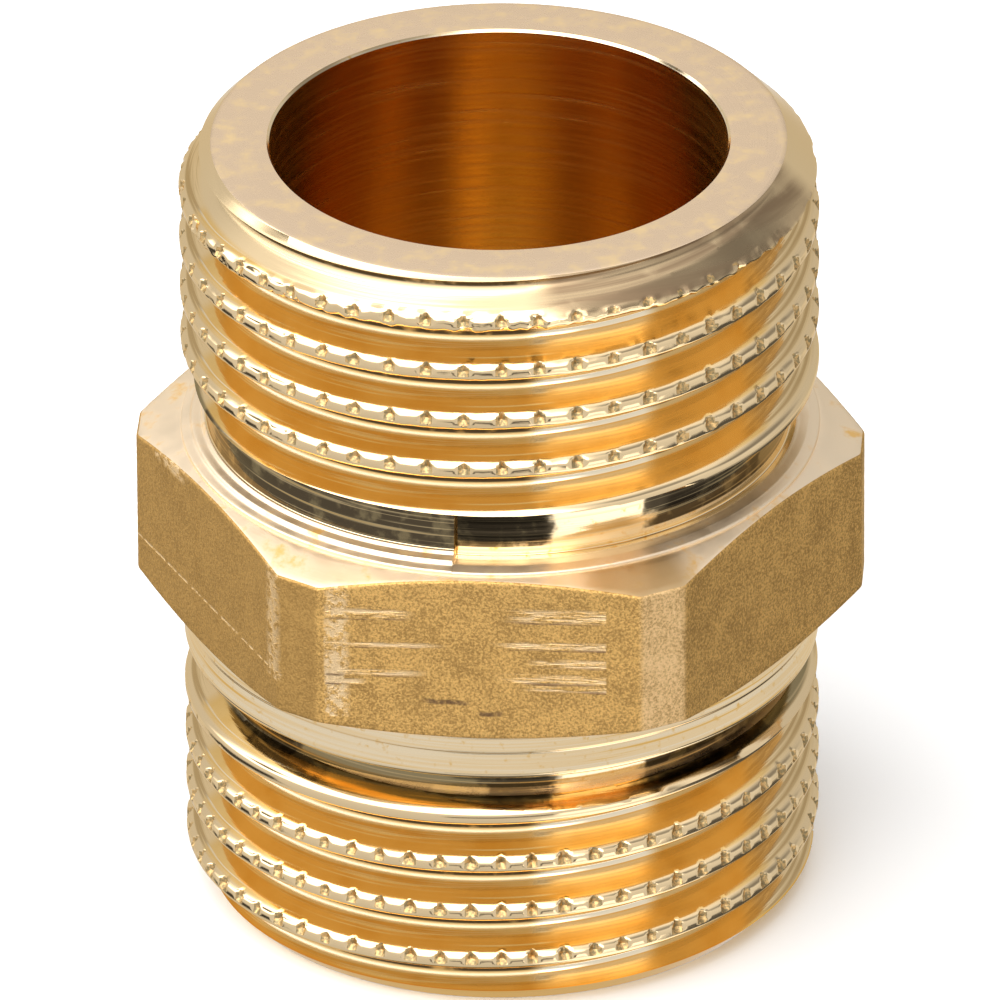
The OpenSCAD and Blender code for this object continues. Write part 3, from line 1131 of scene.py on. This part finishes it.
def build_world():
    """A pale studio: walls that brighten upwards, with the panels over them."""
    world = bpy.data.worlds.new("studio")
    world.use_nodes = True
    bpy.context.scene.world = world
    shader = Shader(world.node_tree)
    direction = shader.node("ShaderNodeTexCoord").outputs["Generated"]
    x, y, z = shader.node("ShaderNodeSeparateXYZ", {0: direction}).outputs
    elevation = shader.product(shader.math("ARCSINE", z), math.degrees(1))
    light = LEVELS[0][1]
    for (low, before), (high, after) in zip(LEVELS, LEVELS[1:]):
        light = shader.add(light, shader.ramp(elevation, low, high, 0.0, after - before))
    for *shape, radiance in PANELS:
        sockets = {0: panel_mask(shader, x, y, elevation, *shape), 2: light, 3: radiance}
        light = shader.node("ShaderNodeMix", sockets, data_type="FLOAT").outputs[0]
    background = shader.node("ShaderNodeBackground", {"Color": (1, 1, 1, 1), "Strength": light})
    output = shader.node("ShaderNodeOutputWorld")
    shader.tree.links.new(background.outputs[0], output.inputs[0])


def floor_paper():
    material, shader = new_material("floor_paper")
    point = shader.node("ShaderNodeTexCoord").outputs["Object"]
    tone = shader.ramp(shader.noise(point, 40.0, 2.0), 0.3, 0.7, 0.86, 0.88)
    colour = shader.node("ShaderNodeCombineColor", {0: tone, 1: tone, 2: tone}).outputs[0]
    paper = shader.node("ShaderNodeBsdfPrincipled", {"Base Color": colour, "Roughness": 0.9})
    output = shader.node("ShaderNodeOutputMaterial")
    shader.tree.links.new(paper.outputs[0], output.inputs[0])
    return material


def build_floor(height):
    """A wide sheet at the height of the part's foot, left out of the metal's reflections."""
    reach = FLOOR_REACH
    corners = [(-reach, -reach, 0), (reach, -reach, 0), (reach, reach, 0), (-reach, reach, 0)]
    mesh = bpy.data.meshes.new("floor")
    mesh.from_pydata(corners, [], [(0, 1, 2, 3)])
    mesh.materials.append(floor_paper())
    floor = new_object("floor", mesh)
    floor.location.z = height
    floor.visible_glossy = False


def build_camera():
    """The camera stands far off, as for a product photograph, so that the upright lines stay upright."""
    elevation, roll = math.radians(CAMERA_ELEVATION), math.radians(CAMERA_ROLL)
    forward = Vector((0, math.cos(elevation), -math.sin(elevation)))
    right = Vector((1, 0, 0))
    up = right.cross(forward)
    rolled_right = math.cos(roll) * right + math.sin(roll) * up
    rolled_up = -math.sin(roll) * right + math.cos(roll) * up
    aim = Vector((0, 0, AIM_HEIGHT))
    eye = -(AIM_RIGHT * rolled_right + AIM_UP * rolled_up + CAMERA_DISTANCE * forward)
    turn = Matrix.Rotation(math.radians(CAMERA_AZIMUTH), 3, "Z")
    axes = Matrix((turn @ rolled_right, turn @ rolled_up, turn @ -forward)).transposed()
    data = bpy.data.cameras.new("camera")
    data.lens = LENS
    data.sensor_width = SENSOR
    data.clip_start, data.clip_end = CLIP_START, CLIP_END
    camera = new_object("camera", data)
    camera.matrix_world = Matrix.Translation((turn @ eye + aim) * MM) @ axes.to_4x4()
    bpy.context.scene.camera = camera


# ---------------------------------------------------------------------------------------------------------

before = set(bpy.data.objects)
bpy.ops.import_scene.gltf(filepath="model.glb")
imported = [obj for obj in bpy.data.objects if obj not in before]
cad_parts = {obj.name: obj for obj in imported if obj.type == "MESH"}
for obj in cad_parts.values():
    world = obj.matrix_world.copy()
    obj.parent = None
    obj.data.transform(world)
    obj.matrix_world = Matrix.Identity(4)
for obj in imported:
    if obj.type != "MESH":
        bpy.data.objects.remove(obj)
cad_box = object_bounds()

faced, cone, bored, notched = faced_brass(), cone_brass(), bored_brass(), notched_brass()
lower_threaded = threaded_brass("lower_threaded_brass", LOWER, LOWER_THREAD_REFLECTION_HEIGHTS, LOWER_THREAD_DARK_REFLECTIONS)
upper_threaded = threaded_brass("upper_threaded_brass", UPPER, UPPER_THREAD_REFLECTION_HEIGHTS, UPPER_DARK_REFLECTIONS)
lower_bright = neck_brass("lower_neck_brass", LOWER_NECK_REFLECTION_HEIGHTS, LOWER_DARK_REFLECTIONS)
upper_bright = neck_brass("upper_neck_brass", UPPER_NECK_REFLECTION_HEIGHTS, UPPER_DARK_REFLECTIONS)
lower_materials = [lower_threaded, faced, lower_bright, bored, notched]
upper_materials = [upper_threaded, faced, upper_bright, bored, notched]

lower_thread = build_end("lower_thread_turned", LOWER, lower_materials)
lower_neck = build_lower_neck([lower_bright, bored])
hexagon = build_hexagon([blasted_brass(), bored, cone])
upper_neck = build_upper_neck([upper_bright, bored, cone])
upper_thread = build_end("upper_thread_turned", UPPER, upper_materials)
pieces = [
    (lower_thread, "lower_thread", "turned_brass"),
    (lower_neck, "lower_neck", "bright_brass"),
    (hexagon, "hex_collar", "blasted_brass"),
    (upper_neck, "upper_neck", "bright_brass"),
    (upper_thread, "upper_thread", "turned_brass"),
]
for piece, node, slot in pieces:
    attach(piece, "root")
    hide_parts(node)

build_world()
build_floor(cad_box[0].z)
build_camera()
bpy.context.scene.view_settings.view_transform = "Standard"
